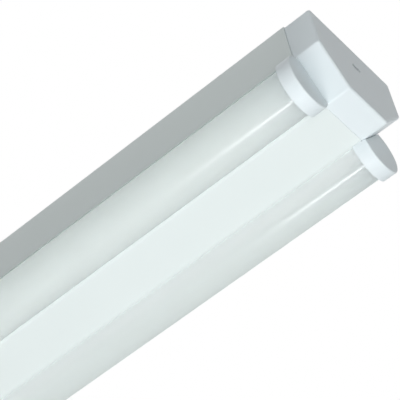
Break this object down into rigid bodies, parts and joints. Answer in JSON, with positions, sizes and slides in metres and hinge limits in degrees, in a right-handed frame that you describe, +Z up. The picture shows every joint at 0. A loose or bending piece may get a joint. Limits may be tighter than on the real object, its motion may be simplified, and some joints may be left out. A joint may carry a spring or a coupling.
{
  "type": "twin led batten light",
  "caption": "Surface-mounted linear ceiling light: a white folded-steel spine with round opal LED tubes along its sloped sides and moulded end caps.",
  "frame": {"origin": "middle of the ceiling face of the base channel", "axes": "+Z up into the ceiling, +X along the fixture to its near end, +Y to the right-hand tube"},
  "size_m": [0.6, 0.1012, 0.0663],
  "materials": {
    "white_paint": "satin powder coat",
    "white_moulding": "satin moulded plastic",
    "opal": "smooth opal plastic",
    "board": "white solder mask on aluminium",
    "led": "phosphor in a white package",
    "connector": "moulded nylon",
    "bright_steel": "zinc plated",
    "spring_steel": "rolled spring steel",
    "driver_plastic": "textured plastic",
    "circuit": "solder mask",
    "ferrite": "ferrite core and tape",
    "capacitor": "shrink sleeve",
    "terminal_plastic": "moulded nylon",
    "brass": "bright brass",
    "grommet_rubber": "soft rubber",
    "clip_plastic": "moulded nylon",
    "wire_brown": "smooth insulation",
    "wire_blue": "smooth insulation",
    "wire_green": "green insulation with a yellow stripe",
    "wire_red": "smooth insulation",
    "wire_black": "smooth insulation"
  },
  "bodies": {
    "base": {"base_channel": "white_paint", "cable_grommet": "grommet_rubber", "spring_clip_near": "spring_steel", "spring_clip_far": "spring_steel", "clip_rivets": "bright_steel"},
    "tray": {"gear_tray": "white_paint", "diffuser_plug_left_near": "white_moulding", "diffuser_plug_left_far": "white_moulding", "diffuser_plug_right_near": "white_moulding", "diffuser_plug_right_far": "white_moulding", "diffuser_left": "opal", "diffuser_right": "opal", "led_board_left": "board", "led_board_right": "board", "leds_left": "led", "leds_right": "led", "led_connector_left": "connector", "led_connector_right": "connector", "driver_connectors": "connector", "plug_screws": "bright_steel", "gear_studs": "bright_steel", "gear_nuts": "bright_steel", "earth_stud": "bright_steel", "earth_nut": "bright_steel", "terminal_screws": "bright_steel", "driver_case": "driver_plastic", "driver_lid": "driver_plastic", "driver_board": "circuit", "driver_transformer": "ferrite", "driver_capacitors": "capacitor", "terminal_block": "terminal_plastic", "terminal_contacts": "brass", "earth_tag": "brass", "wire_clips": "clip_plastic", "live_wire": "wire_brown", "neutral_wire": "wire_blue", "earth_wire": "wire_green", "led_wire_left_plus": "wire_red", "led_wire_right_plus": "wire_red", "led_wire_left_minus": "wire_black", "led_wire_right_minus": "wire_black"},
    "near_cap": {"end_cap_near": "white_moulding"},
    "far_cap": {"end_cap_far": "white_moulding"}
  },
  "joints": [
    {"name": "tray_drop", "type": "slide", "parent": "base", "child": "tray", "axis": [0, 0, -1], "range_m": [0, 0.08]},
    {"name": "near_cap_pull", "type": "slide", "parent": "base", "child": "near_cap", "axis": [1, 0, 0], "range_m": [0, 0.025]},
    {"name": "far_cap_pull", "type": "slide", "parent": "base", "child": "far_cap", "axis": [-1, 0, 0], "range_m": [0, 0.025]}
  ]
}
